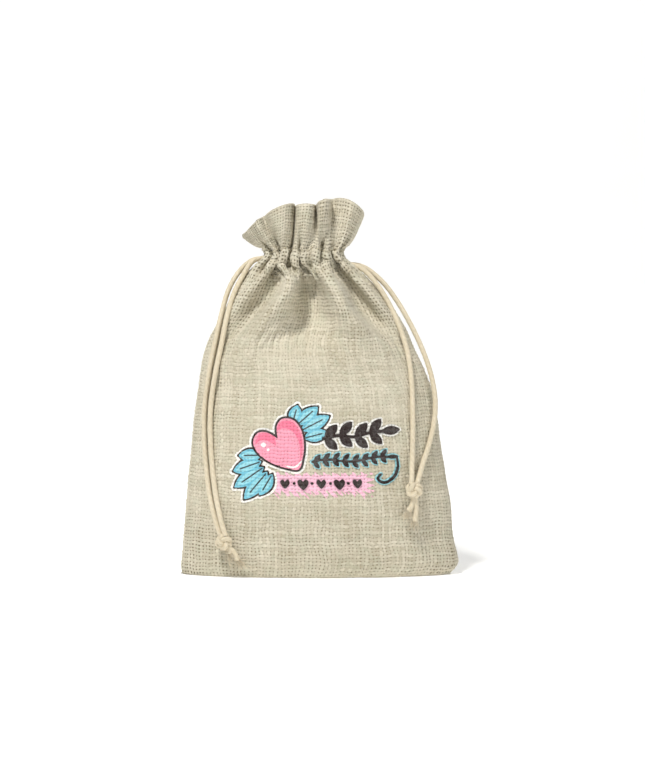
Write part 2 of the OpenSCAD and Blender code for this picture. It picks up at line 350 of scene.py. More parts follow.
def even_by_length(line, count):
    """count + 1 points spaced evenly along the line."""
    run = run_along(line)
    marks = np.linspace(0, run[-1], count + 1)
    return np.stack([np.interp(marks, run, line[:, k]) for k in range(3)], axis=1)


def even(line, spacing):
    """Points along the line about spacing apart."""
    line = np.asarray(line, float)
    return even_by_length(line, max(2, int(round(run_along(line)[-1] / spacing))))


def tube(line, radius, sides=20, lobes=0, lobe_depth=0.0, turns_per_mm=0.0, first_side=(0, 1, 0)):
    """Points, faces and cord values of a round tube along line; radius may be one for each point."""
    line = np.asarray(line, float)
    radius = np.broadcast_to(radius, len(line))
    headings = np.gradient(line, axis=0)
    headings /= np.linalg.norm(headings, axis=1)[:, None]
    run = run_along(line)
    side = np.array(first_side, float)
    angles = 2 * math.pi * np.arange(sides + 1) / sides
    points, values = [], []
    for centre, heading, r, s in zip(line, headings, radius, run):
        side = side - side.dot(heading) * heading
        side /= np.linalg.norm(side)
        up = np.cross(heading, side)
        ripple = 1 + lobe_depth * np.cos(lobes * (angles + 2 * math.pi * turns_per_mm * s))
        circle_points = np.cos(angles)[:, None] * side + np.sin(angles)[:, None] * up
        points.append((centre + (r * ripple)[:, None] * circle_points)[:-1])
        values.append([[s, k / sides, 0] for k in range(sides)])
    count = len(line)
    faces = []
    for j in range(count - 1):
        for i in range(sides):
            k = (i + 1) % sides
            faces.append([j * sides + i, (j + 1) * sides + i, (j + 1) * sides + k, j * sides + k])
    faces.append(list(range(sides)))
    faces.append([(count - 1) * sides + i for i in reversed(range(sides))])
    return np.concatenate(points), faces, np.concatenate(values)


def tubes_piece(name, tubes, material):
    """One object out of several (points, faces, values) tubes."""
    points, faces, values, start = [], [], [], 0
    for more_points, more_faces, more_values in tubes:
        points.append(more_points)
        values.append(more_values)
        faces += [[index + start for index in face] for face in more_faces]
        start += len(more_points)
    return mesh_piece(name, np.concatenate(points), faces, material, "cord", np.concatenate(values))


def stands_for(piece, slot, *nodes, body=None):
    """Hides the CAD nodes that the piece replaces and, when body is given, makes the piece ride on body. slot
    is not used.
    """
    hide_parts(*nodes)
    if body:
        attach(piece, body)
    return piece


# ---------------------------------------------------------------- drawstrings
COTTON = cord_material()
EXIT_Y = CORD_R + 0.2  # the two strands leave the neck this far from its middle
TWIST = 0.14  # turns of a cord's three plies for each mm
PLIES = 3


def exit_at(side, y):
    """Where a strand leaves the casing."""
    return [PIVOTS[side][0], y, PIVOTS[side][2]]


STRAND_ROUTES = {
    "left_outer_strand": [
        exit_at("left", EXIT_Y), [-25, 0.7, 112], [-29.3, -1.4, 108], [-32.9, -3.2, 101.5],
        [-35.4, -5.5, 92.5], [-37.5, -7.4, 82.5], [-39.4, -7.6, 73], [-41, -7.4, 62], [-41.3, -7.7, 51],
        [-40.6, -8.8, 40], [-39.2, -10, 29], [-37, -11.3, 20], [-35.3, -12.6, 15.3]],
    "left_inner_strand": [
        exit_at("left", -EXIT_Y), [-24.5, -2, 111.7], [-27.9, -3.6, 106.5], [-31, -5.5, 100],
        [-33.4, -7.5, 91.5], [-35.2, -9.4, 82], [-37.1, -9.6, 73], [-38.8, -9.2, 62], [-39.1, -9.5, 51],
        [-38.4, -10.3, 40], [-37, -11.4, 29], [-35, -12.9, 20], [-33.4, -14, 15.3]],
    "right_outer_strand": [
        exit_at("right", EXIT_Y), [12.5, 1.2, 110.6], [17, 0.4, 108.8], [22.4, -0.6, 104],
        [27.2, -1.6, 97.5], [31.8, -2.6, 89.5], [35.8, -3.4, 81], [38.8, -3.8, 72.5], [40.4, -4.4, 64],
        [40.2, -5.6, 56], [38.4, -7.8, 48], [35.8, -10.6, 40.5], [33.7, -13.7, 33.7]],
    "right_inner_strand": [
        exit_at("right", -EXIT_Y), [12, -1.6, 110.4], [16, -2.8, 108], [20.6, -4, 102.6],
        [24.8, -5, 95.4], [28.2, -6.3, 87.4], [30.6, -7.9, 79.4], [31.8, -9, 71], [32.2, -10.3, 62],
        [32.3, -11.2, 53], [32.1, -12.2, 44], [31.7, -14.8, 33.7]],
}
KNOTS = {"left": [-34.2, -13.4, 13.2], "right": [32.7, -14.4, 31.6]}
TUFT_FIBRES = 46
TAIL_ENDS = {"left": [[-31.6, -13.4, 6.6], [-27.8, -13, 4.6]], "right": [[30, -14.2, 21.8], [33, -13.6, 18]]}


def add_strand(name, side):
    """One hanging strand, from inside the casing out of the neck and down to the knot."""
    route = STRAND_ROUTES[name]
    y = EXIT_Y * (1 if "outer" in name else -1)
    out = OUTWARD[side]
    inside = [[PIVOTS[side][0] - out * step, y, PIVOTS[side][2]] for step in (4.9, 3.2, 1.6)]
    line = even(smooth_route(inside + route, 8), 0.35)
    points, faces, values = tube(line, CORD_R, 24, PLIES, 0.022, TWIST)
    piece = mesh_piece("cord_" + name, points, faces, COTTON, "cord", values)
    stands_for(piece, "cotton_cord", name, *([side + "_cord_feed"] if "outer" in name else []))
    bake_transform(piece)
    return piece, (line * MM).tolist(), run_along(line)[-1] * MM


def add_knot(side):
    """Both strands tied together in one overhand knot."""
    middle = np.array(KNOTS[side])
    tubes = []
    for strand in (-1, 1):
        t = np.linspace(0.35, 2 * math.pi + 0.1, 90)
        size = 0.78 + 0.04 * strand
        x = size * (np.sin(t) + 2 * np.sin(2 * t))
        z = size * (np.cos(t) - 2 * np.cos(2 * t))
        y = 0.95 * np.sin(3 * t) + 0.55 * strand
        turn = 0.5 * strand + (0.4 if side == "left" else -0.5)
        c, s = math.cos(turn), math.sin(turn)
        path = np.stack([x * c - z * s, y, x * s + z * c], 1)
        path[:, 2] *= 0.92
        line = even(middle + path, 0.3)
        tubes.append(tube(line, CORD_R * 0.95, 20, PLIES, 0.025, TWIST, (0.1, 0.9, 0.3)))
    for lean in (-0.55, 0.5):
        core = [middle + [lean * 1.4, 0.3, 2.9], middle + [lean, -0.2, 0], middle + [lean * 1.2, 0.1, -2.8]]
        tubes.append(tube(even(smooth_route(core, 8), 0.35), CORD_R * 0.9, 20, PLIES, 0.025, TWIST))
    piece = tubes_piece(f"cord_{side}_knot", tubes, COTTON)
    return stands_for(piece, "cotton_cord", side + "_knot", body=side + "_loop")


def add_tails(side):
    """The two cord ends below the knot, each opening into a tuft of loose fibres."""
    middle = np.array(KNOTS[side])
    rng = np.random.default_rng(11 if side == "left" else 12)
    tubes = []
    for end in TAIL_ENDS[side]:
        end = np.array(end)
        way = (end - middle) / np.linalg.norm(end - middle)
        bow = np.cross(way, [0, 1, 0]) * 0.7
        stop = end - way * 2.6
        line = smooth_route([middle + way * 1.2, (middle + way * 1.8 + stop) / 2 + bow, stop], 10)
        line = even(line, 0.3)
        swell = CORD_R * np.interp(np.linspace(0, 1, len(line)), [0, 0.75, 1], [0.92, 1.0, 1.12])
        tubes.append(tube(line, swell, 20, PLIES, 0.03, TWIST))
        for _ in range(TUFT_FIBRES):
            start = stop + rng.normal(0, 0.42, 3) * [1, 1, 0.3] - way * 0.6
            spread = way + rng.normal(0, 0.26, 3) * [1, 0.7, 1]
            curl = rng.normal(0, 0.5, 3)
            reach = rng.uniform(1.6, 3.9)
            path = np.array([start, start + spread * reach * 0.5 + curl * 0.3, start + spread * reach + curl])
            path[:, 2] = np.maximum(path[:, 2], 0.6)
            tubes.append(tube(smooth_route(path, 4), rng.uniform(0.05, 0.1), 5))
    piece = tubes_piece(f"cord_{side}_tails", tubes, COTTON)
    return stands_for(piece, "cotton_cord", side + "_tails", body=side + "_loop")


def add_drawstring(side):
    """A hanging loop: two strands, the knot that joins them and the tails below it."""
    knot, tails = add_knot(side), add_tails(side)
    for part in ("outer", "inner"):
        name = f"{side}_{part}_strand"
        piece, path, length = add_strand(name, side)


def add_cord_run(side):
    """The rest of the drawstring, round the neck inside the casing."""
    out, z = OUTWARD[side], PIVOTS[side][2]
    start = LEAN + out * 8.5
    far = LEAN - out * 11.6
    half = [[start, EXIT_Y], [start - out * 0.3, 2.6], [LEAN + out * 6.6, 4], [LEAN + out * 2, 4.5],
            [LEAN - out * 3, 4.5], [LEAN - out * 8, 3.8], [far + out * 0.7, 1.8]]
    route = [[x, -y, z] for x, y in half] + [[far, 0, z]] + [[x, y, z] for x, y in reversed(half)]
    line = even(smooth_route(route, 6), 0.5)
    piece = tubes_piece(f"cord_{side}_run", [tube(line, CORD_R, 16, PLIES, 0.045, TWIST, (0, 0, 1))], COTTON)
    stands_for(piece, "cotton_cord", side + "_cord_run", body="sack")


for cord_side in ("left", "right"):
    add_drawstring(cord_side)
    add_cord_run(cord_side)


# ---------------------------------------------------------------- the cloth's surface
def smoothstep(x, low, high):
    """0 below low and 1 above high, smooth between."""
    t = np.clip((np.asarray(x, float) - low) / (high - low), 0, 1)
    return t * t * (3 - 2 * t)


def bump(x, left, peak, right):
    """0 outside left..right and 1 at peak, smooth on both sides."""
    return smoothstep(x, left, peak) * (1 - smoothstep(x, peak, right))


# Outline of the filled sack by height: half width, middle, half depth in front and behind.
OUTLINE = np.array([
    # z, left x, right x, depth
    [0.0, -49.6, 46.0, 11.0], [3, -50.2, 48.6, 12.8], [6, -50.0, 49.2, 13.8], [14, -49.3, 47.2, 15.2],
    [26, -48.2, 46.2, 16.6], [36, -47.3, 44.4, 17.2], [46, -46.2, 42.8, 17.4], [56, -45.4, 41.4, 17.2],
    [66, -43.8, 39.4, 16.6], [74, -42.6, 36.4, 15.9], [81, -41.0, 32.8, 15.0], [88, -37.8, 30.0, 13.8],
    [95, -34.0, 25.8, 12.4], [101, -30.8, 20.8, 11.2], [105, -28.2, 17.2, 10.2], [108.6, -25.6, 13.6, 9.4],
    [111.2, -23.2, 10.2, 9.8], [CINCH_Z, -20.4, 7.8, 9.8], [NECK_Z, -21.2, 8.2, 9.9]])


def outline(z):
    """Left x, right x and half depth at height z, smoothly between the rows."""
    rows = OUTLINE
    z = np.asarray(z, float)
    i = np.clip(np.searchsorted(rows[:, 0], z) - 1, 0, len(rows) - 2)
    t = (z - rows[i, 0]) / (rows[i + 1, 0] - rows[i, 0])
    before, after = np.maximum(i - 1, 0), np.minimum(i + 2, len(rows) - 1)
    span = rows[i + 1, 0] - rows[i, 0]
    result = []
    for k in (1, 2, 3):
        slope_a = (rows[i + 1, k] - rows[before, k]) / (rows[i + 1, 0] - rows[before, 0]) * span
        slope_b = (rows[after, k] - rows[i, k]) / (rows[after, 0] - rows[i, 0]) * span
        a, b = rows[i, k], rows[i + 1, k]
        result.append(a * (2 * t ** 3 - 3 * t ** 2 + 1) + slope_a * (t ** 3 - 2 * t ** 2 + t)
                      + b * (3 * t ** 2 - 2 * t ** 3) + slope_b * (t ** 3 - t ** 2))
    return result


def pleat_phase(f, side):
    """How far along its pleats the cloth is; the pleats are uneven, as hand-pulled ones are."""
    count = 10.5 if side < 0 else 11.5
    turns = 2 * math.pi
    return count * f + (0.22 * np.sin(turns * (2 * f + 0.1)) + 0.16 * np.sin(turns * (5 * f + 0.4 * side)))


# The large folds that fan out from the neck, top to bottom: z, x of the crest, reach to its left,
# reach to its right, height outward (negative for a valley).
FOLDS = [
    [[112, -9.8, 1.8, 3, 1.2], [109, -9.9, 2, 3, 2.8], [105, -10.8, 2.2, 3.6, 3.6],
     [101, -12, 2.5, 4.4, 3.8], [94.8, -17.4, 3.2, 6, 3.4], [90.6, -21.2, 4.4, 8, 2.6],
     [86, -25, 6, 10, 1.8], [79, -30, 8, 12, 0.8], [72, -34, 10, 12, 0]],
    [[112, -13, 3, 1.8, -0.8], [109, -13.8, 5, 2, -2], [105, -15, 7, 2.2, -3], [101, -16.8, 8, 2.5, -3.4],
     [94.8, -22.6, 8, 3.2, -3], [90.6, -26.5, 9, 4.4, -2.2], [84, -31.5, 9, 7, -1], [77, -35, 9, 9, 0]],
    [[111, -5.4, 1.2, 1.8, -1.8], [108.4, -4.6, 2.4, 2.6, -3.8], [104, -3.8, 4.6, 4.6, -5],
     [98.5, -3.4, 6.4, 7, -5.4], [92, -4.2, 8, 9.6, -4.8], [87, -5.6, 10, 12, -3], [82, -7.4, 13, 13, -1],
     [76, -8, 15, 15, 0]],
    [[112, 1, 3.4, 1.6, 1.8], [109.5, 1.6, 5, 1.7, 3.8], [103.7, 5.4, 7, 1.9, 5], [98, 8.0, 8, 2.1, 5],
     [94.8, 9.4, 9, 2.4, 4.6], [89, 14.2, 11, 3.2, 3.4], [85, 18.4, 13, 5, 2], [79, 22, 14, 8, 0.7],
     [74, 24, 14, 10, 0]],
    [[112, 4.2, 1.6, 3, -1.8], [109.5, 5.2, 1.7, 3.6, -3.6], [105, 8.6, 1.9, 5, -4.6],
     [100, 11.4, 2.2, 6.4, -4.7], [94.8, 14.2, 2.6, 8, -4.2], [90.6, 18.8, 3.6, 9, -2.9],
     [85, 24, 7, 8, -0.8], [80, 27, 8, 8, 0]],
    [[111, 7.6, 2, 1.8, 0.8], [104.8, 13.4, 2.6, 2.2, 1.9], [100, 17.6, 3.2, 2.8, 1.9],
     [91, 24, 4.5, 3.6, 1.3], [84, 28, 6, 5, 0]],
    [[111, -19.4, 2, 2, 0.8], [104, -24.4, 3, 4, 1.5], [97, -29.4, 3, 5, 1.4], [89, -33.6, 4, 6, 0.7],
     [82, -36, 5, 6, 0]],
    [[86, -7, 24, 24, 0], [78, -8, 26, 24, 1.1], [71, -9, 24, 22, 0.8], [60, -9, 22, 22, 0]],
]


def big_folds(x, z, side):
    """Depth of the large folds at height z, in mm outward. The back's are the front's mirrored and softer."""
    at = x if side < 0 else 2 * LEAN - x
    depth = np.zeros_like(x)
    for fold in FOLDS:
        rows = np.array(fold[::-1], float)
        if rows[0, 0] < z < rows[-1, 0]:
            crest, left, right, height = (float(np.interp(z, rows[:, 0], rows[:, k])) for k in range(1, 5))
            t = np.where(at < crest, (crest - at) / left, (at - crest) / right)
            depth += height * (1 - smoothstep(t, 0, 1.25))
    fade = float(1 - smoothstep(z, 109, 112)) if z > 109 else 1.0
    return depth * fade * (1.75 if side < 0 else 1.25)


def crumple(f, z, side):
    """An irregular wave over the gathered neck, about -1 to 1."""
    waves = np.sin(47 * f + 0.9 * z + side) + np.sin(83 * f - 0.55 * z + 2.1)
    waves = waves + np.sin(29 * f + 1.7 * z - side * 1.3)
    return (waves + 0.7 * np.sin(131 * f + 1.3 * z)) / 3.4


def body_row(z, side, f):
    """A dense curve across one side of the sack at height z, from left to right."""
    left, right, depth = (float(part) for part in outline(z))
    half, middle = (right - left) / 2, (right + left) / 2
    roundness = 1.2 - 0.45 * float(smoothstep(z, 60, 112))
    x = middle - half * np.cos(math.pi * f)
    arch = np.sin(math.pi * f)  # 0 at both side seams, 1 halfway
    hill = arch ** roundness
    y = side * (depth * hill + big_folds(x, z, side) * arch ** 0.5)
    # gathers that the drawstrings pull in
    gather = float(smoothstep(z, 101, 111.5)) ** 1.3
    edge_fade = 0.35 + 0.65 * arch ** 0.6
    uneven = 0.75 + 0.35 * np.sin(13 * f + 2 * side) + 0.2 * np.sin(31 * f)
    pleats = 1 - np.abs(np.sin(math.pi * pleat_phase(f, side))) ** 0.85
    inward = gather * 7.4 * uneven * pleats * edge_fade
    rough = float(bump(z, 105.5, 112.5, 120)) * arch ** 0.5
    y -= side * (inward * hill - rough * 1.6 * crumple(f, z, side))
    x += (middle - x) * inward * 0.018 + rough * 0.6 * crumple(f + 0.31, z, side)
    # a crease across the neck, lowest near its middle, and the puff of cloth below it
    crease = 109 + 6.4 * np.minimum(((x + 5) / 15) ** 2, 1.3)
    dent = 2.8 * np.exp(-((z - crease) / 1.25) ** 2)
    puff = 1.5 * np.exp(-((z - crease + 3.4) / 1.9) ** 2)
    y -= side * arch ** 0.4 * (dent - puff)
    height = z + rough * 1.8 * crumple(f + 0.17, z * 0.4, side)
    return np.stack([x, y, height], axis=1)


# The ruffle's top edge, left to right: the front's lobes and valleys, then the back's.
FRONT_TOP = [
    [-28.4, 4.5, 120.6], [-25.8, -2.5, 123.4], [-22.6, -7.4, 126.2], [-20.2, -3.6, 127.9],
    [-17.6, -9.4, 129.6], [-13.6, -10.8, 131.4], [-11, -9, 132], [-9.6, -5.5, 132.2], [-9.3, -1.5, 131.6],
    [-8.6, -6, 131.6], [-7.8, -9.8, 131.8], [-5.4, -11, 132], [-3, -9.6, 131.9], [-2.2, -5.6, 131.8],
    [-1.9, -2, 131.8], [-1.3, -6, 132.4], [-0.5, -9.8, 133], [1.3, -10.6, 133.4], [3, -8.4, 133.7],
    [3.4, -4.4, 133.8], [3.9, -1.5, 134], [6.4, -3.6, 134.3], [9.6, -6.6, 133.6], [12.6, -6.6, 131.9],
    [14.8, -3.4, 129.9], [15.4, 2, 128.3]]
BACK_TOP = [
    [-28.4, 4.5, 120.6], [-24.6, 8.4, 124.6], [-20.4, 10, 127.6], [-17.2, 7, 129], [-16.2, 3.2, 129.4],
    [-13.4, 6, 130], [-10.6, 10, 130.6], [-7.8, 9.4, 130.8], [-6.8, 5, 130.6], [-5.2, 3, 130.6],
    [-2.6, 6.6, 131], [-0.4, 10.2, 131.4], [2.6, 9.6, 131.8], [4, 5.4, 132], [6, 3.6, 132],
    [8.8, 7.4, 131.6], [12, 8.8, 130.6], [14.6, 6.4, 129.2], [15.4, 2, 128.3]]
RUFFLE_ROWS = 15
BASE_ROW = 9  # thread rows on half of the flat base
LOWEST = 0.35  # the cloth's middle surface stays this high above the floor, so that its threads clear it


def designed_cloth():
    """The sack's surface as a grid: rows from the bottom seam to the top fold, one column for each thread,
    first across the front from the left seam to the right, then back across the back. Also the neck's row."""
    f = np.linspace(0, 1, 2401)
    neck = {side: even_by_length(body_row(NECK_Z, side, f), SIDE) for side in (-1, 1)}
    heights = [0.0]
    while heights[-1] < NECK_Z:
        heights.append(min(NECK_Z, heights[-1] + THREAD * 0.985))
    rows = {}
    for side, top in ((-1, FRONT_TOP), (1, BACK_TOP)):
        edge = even_by_length(body_row(0.0, side, f), SIDE)
        ex, ey, ez = edge.T
        base = [np.stack([ex, ey * k / BASE_ROW, ez], axis=1) for k in range(BASE_ROW)]
        body = [even_by_length(body_row(z, side, f), SIDE) for z in heights]
        rim = even_by_length(smooth_route(top, 12), SIDE)
        ruffle = []
        for k in range(1, RUFFLE_ROWS):
            t = k / (RUFFLE_ROWS - 1)
            out = t ** 0.62
            row = neck[side] * (1 - out) + rim * out
            belly = np.sin(math.pi * np.linspace(0, 1, SIDE + 1))
            row[:, 1] += side * 1.3 * math.sin(math.pi * t) * belly
            row[:, 2] = neck[side][:, 2] * (1 - t) + rim[:, 2] * t
            ruffle.append(row)
        rows[side] = np.array(base + body + ruffle)
    front, back = rows[-1], rows[1]
    return np.concatenate([front[:, :-1], back[:, :0:-1]], axis=1), BASE_ROW + len(heights) - 1


def keep_length(x, free, a, b, rest, strength, push_only):
    """Moves each pair of points (index arrays a and b) towards being rest apart. push_only leaves the
    pairs that are farther apart as they are, so that it only resists bending."""
    gap = x[b] - x[a]
    length = np.sqrt((gap ** 2).sum(-1, keepdims=True)) + 1e-9
    off = length - rest
    if push_only:
        off = np.minimum(off, 0)
    free_a, free_b = free[a], free[b]
    total = np.maximum(free_a + free_b, 1e-6)
    move = gap * (off / length * strength / total)
    x[a] += move * free_a
    x[b] -= move * free_b


def tunnel_clear(x, neck_row):
    """Keeps the gathers outside the drawstrings' tunnel."""
    near = x[neck_row - 9:neck_row + 1]
    half_wide, half_deep = 13.2, 5.95
    dx, dy = (near[..., 0] - LEAN) / half_wide, near[..., 1] / half_deep
    reach = np.sqrt(dx ** 2 + dy ** 2)
    push = np.maximum(1.0, 1.0 / np.maximum(reach, 0.3))
    near[..., 1] *= push
    near[..., 0] = LEAN + (near[..., 0] - LEAN) * push


def relax(target, neck_row, rounds):
    """Cloth simulation: threads keep their spacing, so the gathered cloth buckles into folds. It is
    pulled lightly to the filled shape, held at the base, the cinched neck and the seams, and has no
    velocity."""
    rows = len(target)
    x = target.copy()
    j = np.arange(rows)
    below_neck = np.where(j <= neck_row, smoothstep(neck_row - j, 1, 9), 0)
    row_free = smoothstep(j, BASE_ROW + 4, BASE_ROW + 26) * below_neck
    i = np.arange(AROUND)
    from_seam = np.minimum(i % SIDE, SIDE - i % SIDE)
    free = (row_free[:, None] * (0.1 + 0.9 * smoothstep(from_seam, 0, 7))).reshape(-1, 1)
    index = np.arange(rows * AROUND).reshape(rows, AROUND)
    right, right2, right4 = (np.roll(index, -step, axis=1) for step in (1, 2, 4))
    pairs = []

    def pair(a, b, threads, strength, push_only=False):
        """Points a and b belong that many threads apart."""
        pairs.append((a.ravel(), b.ravel(), THREAD * threads, strength, push_only))

    for c in (0, 1):  # every other pair at a time, so that no point is in two of them
        pair(index[:, c::2], right[:, c::2], 1, 0.45)
        pair(index[c:-1:2], index[c + 1::2], 1, 0.8)
        pair(index[c:-1:2], right[c + 1::2], 1.414, 0.1)
        pair(right[c:-1:2], index[c + 1::2], 1.414, 0.1)
        pick = (i // 2) % 2 == c
        pair(index[:, pick], right2[:, pick], 2, 0.22, True)
        pick = (i // 4) % 2 == c
        pair(index[:, pick], right4[:, pick], 3.7, 0.12, True)
        keep = (j[:-2] // 2) % 2 == c
        pair(index[:-2][keep], index[2:][keep], 2, 0.35, True)
        keep = (j[:-4] // 4) % 2 == c
        pair(index[:-4][keep], index[4:][keep], 3.95, 0.3, True)
    flat, goal = x.reshape(-1, 3), target.reshape(-1, 3)
    pull = np.tile(np.where(from_seam == 0, 0.25, 0.13), rows).reshape(-1, 1)
    give = np.minimum(1, free * 4)
    for _ in range(rounds):
        flat += (goal - flat) * pull * give
        for a, b, rest, strength, push_only in pairs:
            keep_length(flat, free, a, b, rest, strength, push_only)
        flat[:, 2] = np.maximum(flat[:, 2], LOWEST)
    x = flat.reshape(target.shape)
    tunnel_clear(x, neck_row)
    return x


DESIGN, NECK_ROW = designed_cloth()
tunnel_clear(DESIGN, NECK_ROW)
DESIGN[:, :, 2] = np.maximum(DESIGN[:, :, 2], LOWEST)
GRID = relax(DESIGN, NECK_ROW, 60)
ROWS = len(GRID)


def cubic_weights(t):
    """How much each of four neighbouring rows counts at t of the way between the middle two."""
    return np.stack([-0.5 * t + t ** 2 - 0.5 * t ** 3, 1 - 2.5 * t ** 2 + 1.5 * t ** 3,
                     0.5 * t + 2 * t ** 2 - 1.5 * t ** 3, -0.5 * t ** 2 + 0.5 * t ** 3])


def wander(u, v):
    """How far the threads stray sideways from an even spacing, in threads."""
    inside = smoothstep(v, 0, 4) * (1 - smoothstep(v, ROWS - 5, ROWS - 1))
    turn = 2 * math.pi / AROUND
    across = 0.14 * np.sin(0.47 * v + 2 * np.sin(9 * turn * u)) + 0.1 * np.sin(1.1 * v + 23 * turn * u)
    up = 0.13 * np.sin(14 * turn * u + 1.5 * np.sin(0.21 * v)) + 0.1 * np.sin(41 * turn * u - 0.4 * v)
    return across * inside, up * inside


def cloth_at(u, v):
    """Points of the cloth's middle surface at thread numbers u (around) and v (up)."""
    u, v = np.broadcast_arrays(np.asarray(u, float), np.asarray(v, float))
    across, up = wander(u, v)
    u, v = u + across, np.clip(v + up, 0, ROWS - 1)
    i, j = np.floor(u).astype(int), np.minimum(np.floor(v).astype(int), ROWS - 2)
    wu, wv = cubic_weights(u - i), cubic_weights(v - j)
    total = np.zeros(u.shape + (3,))
    for b in range(4):
        row = np.clip(j + b - 1, 0, ROWS - 1)
        for a in range(4):
            total += (wu[a] * wv[b])[..., None] * GRID[row, (i + a - 1) % AROUND]
    return total


def cloth_normal(u, v):
    """Unit normals, outward."""
    step = 0.12
    along = cloth_at(u + step, v) - cloth_at(u - step, v)
    up = cloth_at(u, v + step) - cloth_at(u, v - step)
    normal = np.cross(along, up)
    return normal / np.maximum(np.linalg.norm(normal, axis=-1), 1e-9)[..., None]


def openness(u, v):
    """How open the weave is: more at the bottom, the sides, where the folds stretch it and at the gathered
    neck.
    The material darkens the gaps where the weave is more open, so the neck's share is partly painted shade.
    """
    f = (u % SIDE) / SIDE
    edge = 1 - smoothstep(np.minimum(f, 1 - f), 0.03, 0.24)
    low = 1 - smoothstep(v - BASE_ROW, 4, 26)
    shoulder = smoothstep(v - BASE_ROW, 58, 82)
    # partly painted shade: the neck's rows are made more open, so their darker gaps darken the gathers
    neck = bump(v, NECK_ROW - 8, NECK_ROW - 2, NECK_ROW + 4)
    high = 0.55 * shoulder + 0.55 * neck
    return 0.8 * np.clip(0.1 + 0.7 * low * (0.45 + 0.55 * edge) + 0.22 * edge + high, 0, 1)


def slub(thread, along):
    """How thick a hand-spun thread is along its length, about 0.6 to 1.4."""
    kind = (np.sin(np.floor(thread + 1e-6) * 12.9898) * 43758.5453) % 1
    return 0.8 + 0.4 * kind + 0.22 * np.sin(along * (0.2 + 0.25 * kind) + 40 * kind)


def relief(u, v):
    """Height of the threads over the cloth's middle surface, in mm."""
    warp = np.abs(np.sin(math.pi * u)) * slub(u, v)
    weft = np.abs(np.sin(math.pi * v)) * slub(v + 300, u)
    return 0.34 * np.maximum(warp, weft) + 0.12 * warp * weft - 0.2


def surface(u, v, offset=0.0):
    """Points on the woven outer face."""
    return cloth_at(u, v) + cloth_normal(u, v) * (relief(u, v) + offset)[..., None]


BURLAP = weave_material("burlap")
THREAD_MATERIAL = thread_material()


def closed_sheet(name, outer, inner, values, flip=False):
    """A closed sheet of burlap from its two faces' grids; flip where the grid's other side faces out."""
    rows, columns = outer.shape[:2]
    count = rows * columns
    rims = rim_quads(rows, columns, count)
    faces = np.concatenate([quads(rows, columns, 0, flip), quads(rows, columns, count, not flip),
                            rims[:, ::-1] if flip else rims])
    points = np.concatenate([outer.reshape(-1, 3), inner.reshape(-1, 3)])
    values = values.reshape(-1, 3)
    return mesh_piece(name, points, faces, BURLAP, "weave", np.concatenate([values, values]))


def cloth_piece(name, u0, u1, v0, v1, thickness=CLOTH, lift=0.0):
    """A closed sheet of the weave between two thread numbers each way."""
    per_thread = 2
    u = np.linspace(u0, u1, int(round((u1 - u0) * per_thread)) + 1)
    v = np.linspace(v0, v1, int(round((v1 - v0) * per_thread)) + 1)
    uu, vv = np.meshgrid(u, v)
    outer = surface(uu, vv, lift)
    depth = lift - thickness + 0.15 - 0.5 * relief(uu, vv)
    inner = cloth_at(uu, vv) + cloth_normal(uu, vv) * depth[..., None]
    for face in (outer, inner):
        face[..., 2] = np.maximum(face[..., 2], 0.0)  # nothing goes below the floor
    return closed_sheet(name, outer, inner, np.stack([uu, vv, openness(uu, vv)], axis=-1))


def add_cloth():
    """The two walls with the base, and the two halves of the ruffle."""
    for side, u0 in (("front", 0), ("back", SIDE)):
        panel = cloth_piece(f"burlap_{side}_panel", u0, u0 + SIDE, 0, NECK_ROW)
        nodes = ["front_panel", "base_cloth"] if side == "front" else ["back_panel"]
        stands_for(panel, "burlap", *nodes, body="sack")
        ruffle = cloth_piece(f"burlap_{side}_ruffle", u0, u0 + SIDE, NECK_ROW - 1, ROWS - 1,
                             RUFFLE_CLOTH, -0.04)
        stands_for(ruffle, "burlap", f"{side}_ruffle")
        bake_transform(ruffle)


add_cloth()


def add_casing_strips():
    """The inner layer that closes the drawstrings' tunnel."""
    levels, across = 17, 61
    t = np.linspace(-1, 1, across)
    uu, vv = np.meshgrid(np.arange(across) * 0.7, np.arange(levels) * 0.5)
    values = np.stack([uu, vv, np.full_like(uu, 0.3)], axis=-1)
    for side, sign in (("front", -1), ("back", 1)):
        low, high = box_of(f"{side}_casing_strip")
        rows = []
        for level in np.linspace(low[2], high[2], levels):
            rise = np.clip((level - low[2]) / (high[2] - low[2]), 0, 1)
            pinch = 1 - 0.26 * np.sin(math.pi * rise) ** 0.5
            half = (high[0] - low[0]) / 2 * pinch
            deep = (max(abs(low[1]), abs(high[1])) - 0.4) * pinch
            x = LEAN + half * t
            y = sign * (deep * np.sqrt(1 - 0.6 * t ** 2) - 0.25 * (1 + np.cos(9 * math.pi * t)))
            rows.append(np.stack([x, y, np.full_like(x, level)], axis=1))
        outer = np.array(rows)
        inner = outer - np.array([0, sign * 0.8, 0])
        piece = closed_sheet(f"burlap_{side}_casing_strip", outer, inner, values, flip=side == "back")
        stands_for(piece, "burlap", f"{side}_casing_strip", body="sack")


add_casing_strips()


def add_stitches():
    """Rows of sewing thread along the casing's two edges, on the outside of the neck."""
    dip = np.array([-0.5, 0.1, 0.25, 0.3, 0.25, 0.1, -0.5])  # each stitch's two ends go into the cloth
    for name, row in (("upper_stitch_row", NECK_ROW - 1.0), ("lower_stitch_row", NECK_ROW - 7.5)):
        tubes = []
        for start in np.arange(0.6, AROUND, 2.2):
            if name == "lower_stitch_row" and abs((start + 0.7 + SIDE / 2) % SIDE - SIDE / 2) < 6:
                continue  # the seam is left open where the drawstrings come out
            u = start + np.linspace(0, 1.4, len(dip))
            v = np.full_like(u, row)
            line = cloth_at(u, v) + cloth_normal(u, v) * (0.12 + dip)[:, None]
            tubes.append(tube(line, 0.16, 8))
        stands_for(tubes_piece("thread_" + name, tubes, THREAD_MATERIAL), "thread", name, body="sack")


add_stitches()


